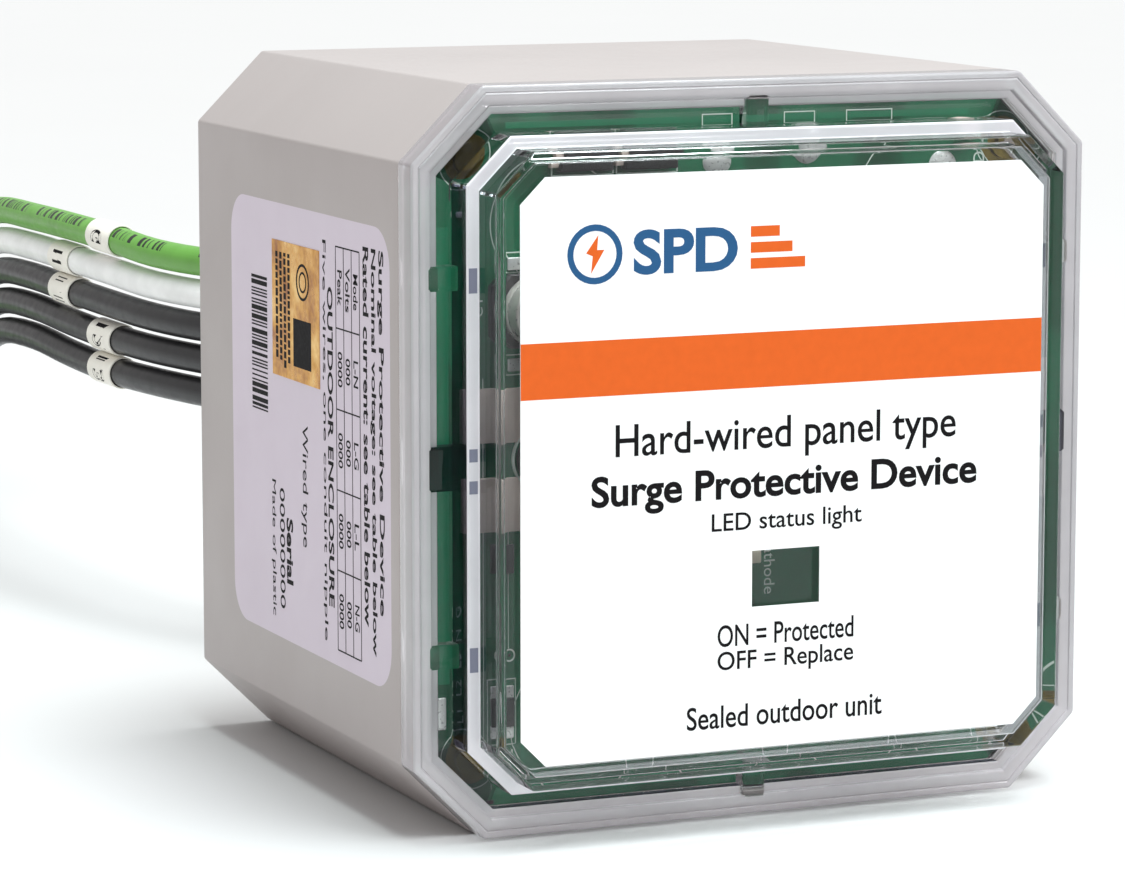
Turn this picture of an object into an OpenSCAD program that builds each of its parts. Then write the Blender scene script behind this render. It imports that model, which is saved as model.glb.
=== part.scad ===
// Hard-wired surge protective device: a square grey box with chamfered edges, a clear
// stepped cover over its status board, four thermally protected varistor modules behind
// the board, and five leads that leave a threaded conduit nipple at the back.
// Millimetres, +Z up, the cover faces -Y and the nipple points along +Y. The origin is
// under the middle of the whole device, on the surface that the box stands on.

/* [Enclosure] */
// Width of the box
body_w = 127; // [124:1:160]
// Height of the box
body_h = 128; // [124:1:160]
// Depth of the box, from the cover joint to its back face
body_d = 104; // [80:1:140]
// Chamfer on the four long edges
edge_chamfer = 12.8; // [9:0.2:16]
// Wall thickness of the box
wall = 3; // [2.4:0.1:3.6]
// Radius of the four board posts
post_r = 3.6; // [3:0.1:4.5]
// Distance of the post centres from the outer faces
post_inset = 12.6; // [11.5:0.1:13]

/* [Clear cover] */
// Height of the cover above the joint, up to its front panel
cover_d = 18; // [16:0.5:24]
// Height of the outer flange
flange_d = 6.3; // [5:0.1:8]
// Width of the flange's outer lip
lip_w = 3.4; // [2.4:0.1:4]
// Width of the bead inside the lip
bead_w = 1.5; // [1:0.1:2]
// Height of the channel floor above the joint
channel_d = 3.2; // [2.8:0.1:4]
// Distance of the lower step's wall from the outer face
step_inset = 8.2; // [7.5:0.1:9.5]
// Height of the lower step's tread above the joint
tread_d = 10.4; // [9:0.1:12]
// Width of the lower step's tread
tread_w = 2.1; // [1.5:0.1:3]
// Wall thickness of the cover
cover_wall = 2; // [1.6:0.1:2.4]
// Width of the narrow bridges across the channel
bridge_w = 4.2; // [3:0.1:6]
// Width of the middle bridge
middle_bridge_w = 7.6; // [6:0.1:10]
// Spacing of the side bridges from the middle
bridge_pitch = 32; // [24:1:40]

/* [Labels] */
// Thickness of the labels
label_t = 0.2; // [0.1:0.05:0.4]
// Margin of the front label inside the cover's front panel
label_margin = 4.2; // [2:0.1:8]
// Chamfer at the front label's corners
label_chamfer = 4.5; // [2:0.1:8]
// Width of the indicator window in the front label
window_w = 12.8; // [8:0.1:16]
// Height of the indicator window
window_h = 9.7; // [6:0.1:14]
// Drop of the window's centre below the middle
window_drop = 20.2; // [15:0.1:30]
// Distance of the rating label's front edge from the joint
rating_y = 4; // [2:0.5:8]
// Length of the rating label along the box
rating_l = 81; // [60:1:90]
// Height of the rating label
rating_h = 79; // [60:1:90]
// Corner radius of the rating label
rating_r = 7; // [2:0.5:8]
// Side of the foil seal
foil_w = 24.4; // [15:0.1:30]

/* [Board] */
// Depth of the board's front face behind the joint
board_y = 0.8; // [0.6:0.1:2]
// Board thickness
board_t = 1.6; // [1:0.1:2]
// Gap between the board and the walls
board_gap = 0.6; // [0.4:0.1:1.5]
// Radius of the board screws' shanks
screw_r = 1.45; // [1.2:0.05:1.6]
// Length of the board screws' shanks
screw_l = 10; // [7:0.5:14]
// Radius of the screw heads
screw_head_r = 2.8; // [2.3:0.1:3]
// Radius of the electrolytic capacitor
can_r = 6; // [4:0.1:7]
// Height of the capacitor's can
can_h = 6.4; // [4:0.1:10]
// Height of the two bus bars
bar_w = 9.3; // [6:0.1:10]

/* [Varistor modules] */
// Outer side of a module housing
module_w = 42; // [40:0.5:44]
// Depth of a module housing
module_d = 28; // [25:0.5:34]
// Gap between neighbouring modules
module_gap = 6; // [4:0.5:6]
// Wall of a module housing
module_wall = 1.6; // [1.2:0.1:2]
// Radius of the varistor disc
disc_r = 17; // [15:0.5:17.5]
// Thickness of the varistor disc
disc_t = 7; // [5:0.5:9]
// Thickness of the sliding arc shield
shield_t = 1.1; // [0.8:0.1:1.4]
// Width of the arc shield
shield_w = 24; // [20:0.5:26]
// Height of the arc shield
shield_h = 14; // [12:0.5:15]
// Travel of the arc shield when the thermal joint lets go
shield_travel = 9; // [6:0.5:9]
// Wire diameter of the shield's spring
spring_wire = 0.7; // [0.5:0.1:0.9]
// Outer diameter of the spring
spring_od = 5; // [4:0.1:5.4]
// Turns of the spring
spring_turns = 5; // [4:1:7]

/* [Nipple] */
// Major radius of the 3/4 inch straight conduit thread
nipple_r = 13.335; // [10:0.005:16.8]
// Bore radius of the nipple
nipple_bore_r = 10.45; // [8:0.05:13.5]
// How far the nipple stands out of the back
nipple_out = 21.8; // [16:0.1:30]
// Across-corner radius of the hexagon inside the box
nipple_hex_r = 19; // [17:0.5:22]
// Thickness of the hexagon
nipple_hex_t = 4; // [3:0.5:6]
// Radial clearance of the rings that slide on the nipple
thread_clearance = 0.05; // [0.02:0.01:0.09]
// Radius of the rubber sealing ring
seal_ring_r = 19.5; // [17:0.5:24]
// Thickness of the rubber sealing ring
seal_ring_t = 2; // [1.5:0.1:3]
// Thickness of the steel washer
washer_t = 1.2; // [0.8:0.1:2]
// Outer radius of the locknut
locknut_r = 18.6; // [17:0.1:22]
// Thickness of the locknut
locknut_t = 4; // [3:0.5:6]
// Notches around the locknut
locknut_notches = 8; // [6:1:10]

/* [Leads] */
// Diameter of one lead over its insulation
lead_d = 6.2; // [4.2:0.1:6.2]
// Length of a marker sleeve
sleeve_l = 12; // [8:0.5:16]
// Wall of a marker sleeve
sleeve_wall = 0.3; // [0.2:0.05:0.3]

/* [Hidden] */

$fn = 64;
// Overshoot of cuts past the faces that they open
cut = 1;

// The device is drawn from its joint plane and its middle, then placed in the part's frame
half_w = body_w / 2;
half_h = body_h / 2;
front_y = -(label_t + cover_d + body_d + nipple_out) / 2;
joint_y = front_y + label_t + cover_d;

// Sealed joint between box and cover
groove_w = 1.2;
groove_d = 1.2;
groove_inset = (wall - groove_w) / 2;
seal_side_gap = 0.05;

// Cover steps, counted inwards from the outer faces
riser_inset = step_inset + tread_w;
bead_d = flange_d - 1.1;
bridge_end_inset = step_inset + cut;

// Front label outline
label_half_w = half_w - riser_inset - label_margin;
label_half_h = half_h - riser_inset - label_margin;

// Rating label and the foil on it
rating_recess = label_t;
foil_t = 0.1;
foil_y = 38.2;
foil_z = 8.4;

// Board
board_back_y = board_y + board_t;
post_x = half_w - post_inset;
post_z = half_h - post_inset;
post_rib_t = 2.4;
pilot_r = screw_r + 0.05;
screw_hole_r = screw_r + 0.25;
screw_head_t = 1.3;
notch_r = 2.2;
can_base_t = 1.6;
can_x = -(half_w - 24);
can_z = 25.4;
bar_t = 0.8;
bar_l = 2 * (half_w - 13.2);
bar_z = 7.65;
package_size = [9.8, 2.4, 4.8];
package_z = half_h - 12.6;
package_places = [-34.8, -22.8];
chip_size = [2.6, 0.9, 5];
chip_x = half_w - 19.2;
// Side of the board (-1 left, 1 right) and height of each chip resistor
chip_places = [[-1, -43.6], [-1, -17], [1, 20]];
spark_r = 5;
spark_t = 0.6;
led_size = [3.6, 1.4, 3];
led_x = 1.8;
// The lamp sits this much lower than the middle of the window
led_drop = 0.6;

// Modules: a two by two grid on the back of the board
module_pitch = (module_w + module_gap) / 2;
module_places = [[-1, 1], [1, 1], [-1, -1], [1, -1]];
module_floor_y = board_back_y + module_d - module_wall;
disc_y = module_floor_y - disc_t;
shield_gap = 0.4;
shield_y = disc_y - shield_gap - shield_t;
spring_room = 8;
shield_top = module_w / 2 - module_wall - spring_room;
shield_bottom = shield_top - shield_h;
shield_slot_w = 6;
lug_w = 8;
lug_t = 2;
lug_d = 6;
spring_y = shield_y - lug_d / 2;
arm_w = 4;
arm_t = 1;
arm_gap = 0.6;
arm_z = shield_bottom - arm_gap - 2.6;
shield_slot_h = arm_z + arm_t + arm_gap - (shield_bottom - shield_travel);
guide_gap = 0.4;
guide_w = 1.4;
strap_w = 4;
strap_t = 1;
strap_gap = 0.2;

// Nipple, its seal and its rings, counted from the joint plane
nipple_in_y = body_d - wall - nipple_hex_t;
nipple_end_y = body_d + nipple_out;
seal_in_y = body_d - wall;
ring_r = nipple_r + thread_clearance;
washer_y = body_d + seal_ring_t;
locknut_y = washer_y + washer_t;
notch_depth = 2.2;
notch_width = 4;

// Leads: a ring of five in the nipple, a standing row of five outside it
lead_r = lead_d / 2;
lead_ring_r = 5.6;
lead_angles = [306, 234, 18, 162, 90];
tube_sides = 8;
// Stations of the row's route in the part's frame: x, y, height of the middle lead,
// spacing from lead to lead, and how much of the ring in the nipple is left
row_route = [
  [0, 72, 64, 0, 1],
  [0, 84, 64, 0, 1],
  [-3, 98, 64, 3.4, 0.85],
  [-9, 114, 63.6, 5.8, 0.5],
  [-18, 131, 63.4, 7, 0.15],
  [-27, 149, 63.4, 7, 0],
  [-33, 170, 63.8, 7, 0],
  [-36, 192, 64.6, 7.3, 0],
  [-38, 215, 65.4, 7.2, 0],
  [-39, 240, 66, 6.9, 0],
  [-39.5, 265, 65, 7.1, 0],
  [-38, 290, 59, 7.7, 0],
  [-34, 315, 48, 8.2, 0],
  [-28.5, 340, 34, 8, 0],
  [-24, 364, 22, 7.1, 0],
  [-22, 386, 16, 6.4, 0]
];
// Station at which each lead carries its marker sleeve, bottom lead first
sleeve_stations = [7, 7, 8, 8, 7];
sleeve_bore_gap = 0.15;
// The wound rest of the leads, one lead above the other
coil_in_r = 27.6;
coil_out_r = 45;
coil_rows = 5;
row_pitch = 6.4;

// Lead lugs on the back of the board: x and z from the middle
lug_places = [[53, -22], [-53, -22], [53, 22], [-53, 0], [-53, 22]];
lug_plate = 8.6;
lug_plate_t = 0.8;
lug_barrel_r = 4;
lug_barrel_l = 8;

// --- outlines and sweeps ---------------------------------------------------------------

// Corner points of an octagon with half sides w and h and corner chamfer c
function octagon_points(w, h, c) = [
  [w - c, h], [w, h - c], [w, c - h], [w - c, -h],
  [c - w, -h], [-w, c - h], [-w, h - c], [c - w, h]
];

// The box's outline moved inwards by the same distance on every side
module outline(inset) {
  c = edge_chamfer - inset * (2 - sqrt(2));
  polygon(octagon_points(half_w - inset, half_h - inset, c));
}

// An outline seen from the front, given thickness from y0 to y1
module slab(y0, y1) {
  translate([0, y1, 0])
    rotate([90, 0, 0])
      linear_extrude(y1 - y0)
        children();
}

// A rod along +Y
module rod(r, y0, y1) {
  translate([0, y0, 0])
    rotate([-90, 0, 0])
      cylinder(r = r, h = y1 - y0);
}

// From the joint plane and the middle to the part's frame
module placed() {
  translate([0, joint_y, half_h]) children();
}

function unit(v) = v / norm(v);

// Direction of a path at point i
function path_dir(path, i) =
  unit(path[min(i + 1, len(path) - 1)] - path[max(i - 1, 0)]);

// Ring of points around a path; up is any direction the path never takes
function path_ring(path, i, r, sides, up) =
  let (d = path_dir(path, i), s = unit(cross(d, up)), u = cross(s, d))
  [for (k = [0:sides - 1]) path[i] + r * (cos(360 * k / sides) * s + sin(360 * k / sides) * u)];

// Round tube swept along a path
module tube(path, r, sides, up) {
  last = len(path) - 1;
  points = [for (i = [0:last]) each path_ring(path, i, r, sides, up)];
  sides_faces = [
    for (i = [0:last - 1], k = [0:sides - 1])
      let (a = i * sides + k, b = i * sides + (k + 1) % sides)
        each [[a, b, b + sides], [a, b + sides, a + sides]]
  ];
  first_cap = [for (k = [0:sides - 1]) sides - 1 - k];
  last_cap = [for (k = [0:sides - 1]) last * sides + k];
  polyhedron(points, concat(sides_faces, [first_cap, last_cap]), convexity = 6);
}

// --- box, cover and labels -------------------------------------------------------------

module board_post(x, z) {
  translate([x, 0, z]) rod(post_r, board_back_y, body_d - wall / 2);
  intersection() {
    translate([x, 0, z])
      rotate([0, -atan2(z, x), 0])
        translate([0, board_back_y + 2, -post_rib_t / 2])
          cube([post_inset * 2, body_d - wall - board_back_y - 2, post_rib_t]);
    slab(board_back_y, body_d - wall / 2) outline(wall / 2);
  }
}

module enclosure_body() {
  color("#b9b0aa") placed() difference() {
    union() {
      difference() {
        slab(0, body_d) outline(0);
        slab(-cut, body_d - wall) outline(wall);
      }
      for (sx = [-1, 1], sz = [-1, 1]) board_post(sx * post_x, sz * post_z);
    }
    slab(-cut, groove_d) difference() {
      outline(groove_inset);
      outline(groove_inset + groove_w);
    }
    rod(ring_r, body_d - wall - cut, body_d + cut);
    for (sx = [-1, 1], sz = [-1, 1])
      translate([sx * post_x, 0, sz * post_z]) rod(pilot_r, 0, board_back_y + screw_l + 1);
    rating_plate(-half_w - cut, rating_recess + cut);
  }
}

module cover_seal() {
  color("#e8e8e8") placed() slab(0, groove_d) difference() {
    outline(groove_inset + seal_side_gap);
    outline(groove_inset + groove_w - seal_side_gap);
  }
}

// Bar across the channel, pointing outwards along an axis from the middle
module bridge(angle, shift, w, reach) {
  rotate([0, angle, 0])
    translate([reach - bridge_end_inset, -flange_d, shift - w / 2])
      cube([bridge_end_inset - lip_w / 2, flange_d - cover_wall, w]);
}

module cover_outside() {
  slab(-channel_d, 0) outline(0);
  slab(-flange_d, 0) difference() {
    outline(0);
    outline(lip_w);
  }
  slab(-bead_d, 0) difference() {
    outline(lip_w / 2);
    outline(lip_w + bead_w);
  }
  slab(-tread_d, 0) outline(step_inset);
  slab(-cover_d, 0) outline(riser_inset);
  for (side = [0, 180]) {
    for (s = [-1, 1]) bridge(side, s * bridge_pitch, bridge_w, half_w);
    bridge(side, 0, middle_bridge_w, half_w);
  }
  for (side = [90, 270]) bridge(side, 0, bridge_w, half_h);
}

module clear_cover() {
  color("#dfe6e6", 0.35) placed() difference() {
    cover_outside();
    slab(-channel_d + cover_wall, cut) outline(wall + board_gap);
    slab(-tread_d + cover_wall, cut) outline(step_inset + cover_wall);
    slab(-cover_d + cover_wall, cut) outline(riser_inset + cover_wall);
  }
}

module front_label() {
  color("white") placed() slab(-cover_d - label_t, -cover_d) difference() {
    polygon(octagon_points(label_half_w, label_half_h, label_chamfer));
    translate([0, -window_drop]) square([window_w, window_h], center = true);
  }
}

// Rounded plate on the left side, from x over a thickness t
module rating_plate(x, t) {
  translate([x, rating_y, -rating_h / 2])
    rotate([90, 0, 90])
      linear_extrude(t)
        for (i = [0, 1], j = [0, 1]) {
          translate([rating_r + i * (rating_l - 2 * rating_r), rating_r + j * (rating_h - 2 * rating_r)])
            circle(rating_r);
          translate([i * rating_r, (1 - i) * rating_r])
            square([rating_l - 2 * i * rating_r, rating_h - 2 * (1 - i) * rating_r]);
        }
}

module rating_label() {
  color("#d9d2e0") placed() rating_plate(-half_w, rating_recess);
}

module foil_seal() {
  color("#c79a3f") placed()
    translate([-half_w - foil_t, foil_y, foil_z]) cube([foil_t, foil_w, foil_w]);
}

// --- board and what sits on it ---------------------------------------------------------

module main_board() {
  color("#0e6b45") placed() slab(board_y, board_back_y) difference() {
    outline(wall + board_gap);
    for (sx = [-1, 1], sz = [-1, 1]) {
      translate([sx * post_x, sz * post_z]) circle(screw_hole_r);
      translate([sx * (half_w - wall - board_gap), sz * (half_h - edge_chamfer - notch_r)])
        circle(notch_r);
    }
  }
}

module board_screws() {
  color("#a08a3c") placed()
    for (sx = [-1, 1], sz = [-1, 1])
      translate([sx * post_x, 0, sz * post_z]) {
        rod(screw_head_r, board_y - screw_head_t, board_y);
        rod(screw_r, board_y - screw_head_t / 2, board_back_y + screw_l);
      }
}

module status_led() {
  color("#e9e2c4") placed()
    translate([led_x - led_size.x / 2, board_y - led_size.y, -window_drop - led_drop])
      cube(led_size);
}

module filter_capacitor() {
  color("#8d8f90") placed() translate([can_x, 0, can_z]) {
    slab(board_y - can_base_t, board_y)
      polygon(octagon_points(can_r + 0.4, can_r + 0.4, 2));
    rod(can_r, board_y - can_base_t - can_h, board_y - can_base_t / 2);
  }
}

module bus_bars() {
  color("#b3a99b") placed()
    for (s = [-1, 1])
      translate([-bar_l / 2, board_y - bar_t, s * bar_z - bar_w / 2])
        cube([bar_l, bar_t, bar_w]);
}

module rectifier_packages() {
  color("#1f1f22") placed()
    for (x = package_places)
      translate([x, board_y - package_size.y, package_z - package_size.z / 2])
        cube(package_size);
}

module chip_resistors() {
  color("#2b2b2b") placed()
    for (place = chip_places)
      translate([place[0] * chip_x - chip_size.x / 2, board_y - chip_size.y, place[1] - chip_size.z / 2])
        cube(chip_size);
}

module spark_disc() {
  color("#1b1b1d") placed() translate([can_x + 2, 0, 0])
    rod(spark_r, board_y - bar_t - spark_t, board_y - bar_t);
}

module lead_lugs() {
  color("#c9c9c4") placed()
    for (p = lug_places) translate([p.x, 0, p.y]) {
      translate([-lug_plate / 2, board_back_y, -lug_plate / 2])
        cube([lug_plate, lug_plate_t, lug_plate]);
      rod(lug_barrel_r, board_back_y, board_back_y + lug_barrel_l);
    }
}

// Place of lead k in the ring inside the nipple
function ring_place(k) = lead_ring_r * [cos(lead_angles[k]), sin(lead_angles[k])];

// A lead inside the box, from its lug to the seal in the nipple
function inner_route(k) =
  let (
    p = lug_places[k], q = ring_place(k),
    near_y = board_back_y + lug_barrel_l, far_y = seal_in_y,
    bend_y = board_back_y + module_d + 8
  )
  [
    [p.x, near_y, p.y],
    [p.x, (near_y + bend_y) / 2, p.y],
    [p.x, bend_y, p.y],
    [p.x * 0.86, bend_y + 12, p.y * 0.86],
    (let (m = (p + q) / 2) [m.x, (bend_y + nipple_in_y) / 2 + 4, m.y]),
    [q.x * 1.4, nipple_in_y - 6, q.y * 1.4],
    [q.x, nipple_in_y + 1, q.y],
    [q.x, far_y, q.y]
  ];

module inner_leads() {
  color("#222222") placed()
    for (k = [0:4]) tube(inner_route(k), lead_r, tube_sides, [0, 0, 1]);
}

// --- varistor modules ------------------------------------------------------------------

// Into the frame of module n, counted from 1
module at_module(n) {
  p = module_places[n - 1];
  placed() translate([p.x * module_pitch, 0, p.y * module_pitch]) children();
}

// Box in a module's frame: centred on x, from y0 to y1 and from z0 to z1
module block(w, y0, y1, z0, z1) {
  translate([-w / 2, y0, z0]) cube([w, y1 - y0, z1 - z0]);
}

module varistor_housing(n) {
  inner = module_w - 2 * module_wall;
  color("#2d4a6b") at_module(n) {
    difference() {
      block(module_w, board_back_y, board_back_y + module_d, -module_w / 2, module_w / 2);
      block(inner, board_back_y - cut, module_floor_y, -inner / 2, inner / 2);
    }
    for (s = [-1, 1])
      translate([s * (shield_w / 2 + guide_gap + guide_w / 2), 0, 0])
        block(guide_w, shield_y - 0.4, disc_y, -inner / 2, inner / 2);
  }
}

module varistor_disc(n) {
  color("#2f4f9a") at_module(n) rod(disc_r, disc_y, module_floor_y);
}

module arc_shield(n) {
  color("#e8e4d8") at_module(n) {
    difference() {
      block(shield_w, shield_y, shield_y + shield_t, shield_bottom, shield_top);
      block(shield_slot_w, shield_y - cut, shield_y + shield_t + cut,
            shield_bottom - cut, shield_bottom + shield_slot_h);
    }
    block(lug_w, shield_y - lug_d, shield_y, shield_top - lug_t, shield_top);
  }
}

module shield_spring(n) {
  steps = 12;
  coil_r = (spring_od - spring_wire) / 2;
  free = spring_room - spring_wire - 0.1;
  path = [
    for (i = [0:spring_turns * steps])
      [coil_r * cos(360 * i / steps), coil_r * sin(360 * i / steps), free * i / (spring_turns * steps)]
  ];
  color("#b8bcc0") at_module(n)
    translate([0, spring_y, shield_top + spring_wire / 2 + 0.05])
      tube(path, spring_wire / 2, 6, [0, 0, 1]);
}

module contact_arms() {
  color("#c58b4a")
    for (n = [1:4]) at_module(n)
      block(arm_w, board_back_y, disc_y, arm_z, arm_z + arm_t);
}

module return_straps() {
  color("#c58b4a")
    for (n = [1:4]) at_module(n)
      block(strap_w, board_back_y, module_floor_y,
            -disc_r - strap_gap - strap_t, -disc_r - strap_gap);
}

// --- nipple and its rings --------------------------------------------------------------

module conduit_nipple() {
  color("#c4c6c8") placed() difference() {
    union() {
      rod(nipple_r, nipple_in_y, nipple_end_y);
      translate([0, nipple_in_y, 0])
        rotate([-90, 0, 0]) cylinder(r = nipple_hex_r, h = nipple_hex_t, $fn = 6);
    }
    rod(nipple_bore_r, nipple_in_y - cut, nipple_end_y + cut);
  }
}

module lead_seal() {
  color("#3a3a3c") placed() rod(nipple_bore_r, seal_in_y, nipple_end_y);
}

// Flat ring around the nipple
module nipple_ring(outer_r, y0, t) {
  difference() {
    rod(outer_r, y0, y0 + t);
    rod(ring_r, y0 - cut, y0 + t + cut);
  }
}

module sealing_ring() {
  color("#242424") placed() nipple_ring(seal_ring_r, body_d, seal_ring_t);
}

module steel_washer() {
  color("#bfc2c4") placed() nipple_ring(seal_ring_r - 0.5, washer_y, washer_t);
}

module locknut() {
  color("#aeb2b5") placed() difference() {
    nipple_ring(locknut_r, locknut_y, locknut_t);
    for (i = [0:locknut_notches - 1])
      rotate([0, 360 * i / locknut_notches, 0])
        translate([locknut_r - notch_depth, locknut_y - cut, -notch_width / 2])
          cube([notch_depth + cut, locknut_t + 2 * cut, notch_width]);
  }
}

// --- leads -----------------------------------------------------------------------------

// Route of lead k outside the nipple, bottom lead first
function lead_route(k) =
  let (q = ring_place(k))
  [for (s = row_route) [s[0] + s[4] * q.x, s[1], s[2] + s[4] * q.y + (k - 2) * s[3]]];

module lead(k) {
  tube(lead_route(k), lead_r, tube_sides, [0, 0, 1]);
}

module marker(k) {
  route = lead_route(k);
  at = route[sleeve_stations[k]];
  dir = path_dir(route, sleeve_stations[k]);
  color("#efece4")
    translate(at)
      rotate([0, 0, atan2(dir.y, dir.x)])
        rotate([0, 90 - asin(dir.z), 0])
          difference() {
            cylinder(r = lead_r + sleeve_bore_gap + sleeve_wall, h = sleeve_l, center = true);
            cylinder(r = lead_r + sleeve_bore_gap, h = sleeve_l + 2 * cut, center = true);
          }
}

module lead_coil() {
  end = row_route[len(row_route) - 1];
  width = coil_out_r - coil_in_r + lead_d;
  color("#2a2a2c")
    translate([end[0] - coil_out_r, end[1], 0])
      rotate_extrude()
        translate([coil_in_r - lead_r, 0])
          square([width, coil_rows * row_pitch]);
}

enclosure_body();
clear_cover();
cover_seal();
front_label();
rating_label();
foil_seal();
main_board();
board_screws();
status_led();
filter_capacitor();
bus_bars();
rectifier_packages();
chip_resistors();
spark_disc();
lead_lugs();
inner_leads();
varistor_housing(1);  // varistor_housing_1
varistor_housing(2);  // varistor_housing_2
varistor_housing(3);  // varistor_housing_3
varistor_housing(4);  // varistor_housing_4
varistor_disc(1);  // varistor_disc_1
varistor_disc(2);  // varistor_disc_2
varistor_disc(3);  // varistor_disc_3
varistor_disc(4);  // varistor_disc_4
arc_shield(1);  // arc_shield_1
arc_shield(2);  // arc_shield_2
arc_shield(3);  // arc_shield_3
arc_shield(4);  // arc_shield_4
shield_spring(1);  // shield_spring_1
shield_spring(2);  // shield_spring_2
shield_spring(3);  // shield_spring_3
shield_spring(4);  // shield_spring_4
contact_arms();
return_straps();
conduit_nipple();
lead_seal();
sealing_ring();
steel_washer();
locknut();
color("#5fae4f") lead(4);  // ground_lead
color("#f2f2f0") lead(3);  // neutral_lead
color("#262628") lead(2);  // line_lead_1
color("#262628") lead(1);  // line_lead_2
color("#262628") lead(0);  // line_lead_3
marker(4);  // ground_marker
marker(3);  // neutral_marker
marker(2);  // line_marker_1
marker(1);  // line_marker_2
marker(0);  // line_marker_3
lead_coil();
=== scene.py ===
"""Looks for a hard-wired surge protective device: grey box, clear stepped cover, status
board behind it, threaded nipple and five leads. Sizes are millimetres until at() or MM
turns them into metres. Device coordinates: x and z from the middle, y from the cover joint."""
import math
import random

import bmesh
import bpy
from mathutils import Matrix, Vector


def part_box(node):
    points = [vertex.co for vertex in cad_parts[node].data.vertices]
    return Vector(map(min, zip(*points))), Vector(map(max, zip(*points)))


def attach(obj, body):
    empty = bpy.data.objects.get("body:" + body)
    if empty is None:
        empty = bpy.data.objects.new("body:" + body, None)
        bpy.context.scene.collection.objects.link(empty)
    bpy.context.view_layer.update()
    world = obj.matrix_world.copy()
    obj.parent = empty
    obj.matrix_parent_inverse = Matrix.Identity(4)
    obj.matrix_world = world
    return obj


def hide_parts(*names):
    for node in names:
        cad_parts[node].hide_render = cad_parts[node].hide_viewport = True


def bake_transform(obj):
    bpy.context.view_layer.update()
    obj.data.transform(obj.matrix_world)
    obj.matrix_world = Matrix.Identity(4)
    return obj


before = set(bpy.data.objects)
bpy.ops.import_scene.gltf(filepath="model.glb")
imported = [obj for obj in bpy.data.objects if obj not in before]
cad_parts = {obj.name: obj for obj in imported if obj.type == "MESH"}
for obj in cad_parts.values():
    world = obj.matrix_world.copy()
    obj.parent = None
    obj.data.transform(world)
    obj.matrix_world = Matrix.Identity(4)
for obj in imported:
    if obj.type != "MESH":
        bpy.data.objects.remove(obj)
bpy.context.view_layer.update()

MM = 0.001
BODY_LO, BODY_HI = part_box("enclosure_body")
COVER_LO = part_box("clear_cover")[0]
LABEL_LO, LABEL_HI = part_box("front_label")
BOARD_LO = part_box("main_board")[0]
NIPPLE_LO, NIPPLE_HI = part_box("conduit_nipple")
RATING_LO, RATING_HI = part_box("rating_label")
FOIL_LO, FOIL_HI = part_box("foil_seal")

JOINT_Y = BODY_LO.y
MID_Z = (BODY_LO.z + BODY_HI.z) / 2
HALF_W = (BODY_HI.x - BODY_LO.x) / 2 / MM
HALF_H = (BODY_HI.z - BODY_LO.z) / 2 / MM
BODY_D = (BODY_HI.y - JOINT_Y) / MM
COVER_D = (JOINT_Y - COVER_LO.y) / MM
CHAMFER = 12.8
WALL = 3.0
CORNERS = [(sx, sz) for sx in (-1, 1) for sz in (-1, 1)]
INK = 0.02
FOIL_T = 0.1


def depth_of(p):
    """Depth of a frame point behind the cover joint, in millimetres."""
    return (p.y - JOINT_Y) / MM


def at(x, y, z):
    """Device coordinates in millimetres to the frame in metres."""
    return Vector((x * MM, JOINT_Y + y * MM, MID_Z + z * MM))


def add_object(name, data):
    obj = bpy.data.objects.new(name, data)
    bpy.context.scene.collection.objects.link(obj)
    return obj


# --- camera ---

CAMERA_PLACE = (-0.3336, -0.7516, 0.1766)
CAMERA_YAW = 0.406
CAMERA_PITCH = 0.144
CAMERA_LENS = 144.0


def make_camera():
    data = bpy.data.cameras.new("camera")
    data.sensor_width = 36.0
    data.lens = CAMERA_LENS
    data.clip_start = 0.01
    data.clip_end = 50.0
    camera = add_object("camera", data)
    right = Vector((math.cos(CAMERA_YAW), -math.sin(CAMERA_YAW), 0))
    level = Vector((math.sin(CAMERA_YAW), math.cos(CAMERA_YAW), 0))
    forward = level * math.cos(CAMERA_PITCH) - Vector((0, 0, math.sin(CAMERA_PITCH)))
    turn = Matrix((right, right.cross(forward), -forward)).transposed()
    camera.matrix_world = Matrix.Translation(CAMERA_PLACE) @ turn.to_4x4()
    bpy.context.scene.camera = camera


# --- mesh helpers ---


def piece(name, bm, material, body="housing", replaces=(), sharp=35):
    """Turns a bmesh in metres into a piece, which rides on a body unless body is None."""
    mesh = bpy.data.meshes.new(name)
    bm.to_mesh(mesh)
    bm.free()
    for polygon in mesh.polygons:
        polygon.use_smooth = True
    mesh.set_sharp_from_angle(angle=math.radians(sharp))
    obj = add_object(name, mesh)
    obj.data.materials.append(material)
    if body:
        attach(obj, body)
    if replaces:
        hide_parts(*replaces)
    return obj


def add_mesh(bm, part):
    """Moves the skin of part into bm."""
    mesh = bpy.data.meshes.new("part")
    part.to_mesh(mesh)
    part.free()
    bm.from_mesh(mesh)
    bpy.data.meshes.remove(mesh)


def loft(rings, closed=False):
    """Joins rings of points, given in order, into one closed skin."""
    bm = bmesh.new()
    rows = [[bm.verts.new(p) for p in ring] for ring in rings]
    pairs = list(zip(rows, rows[1:] + rows[:1])) if closed else list(zip(rows, rows[1:]))
    for a, b in pairs:
        for i in range(len(a)):
            j = (i + 1) % len(a)
            bm.faces.new((a[i], a[j], b[j], b[i]))
    if not closed:
        bm.faces.new(reversed(rows[0]))
        bm.faces.new(rows[-1])
    bmesh.ops.recalc_face_normals(bm, faces=bm.faces)
    return bm


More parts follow.
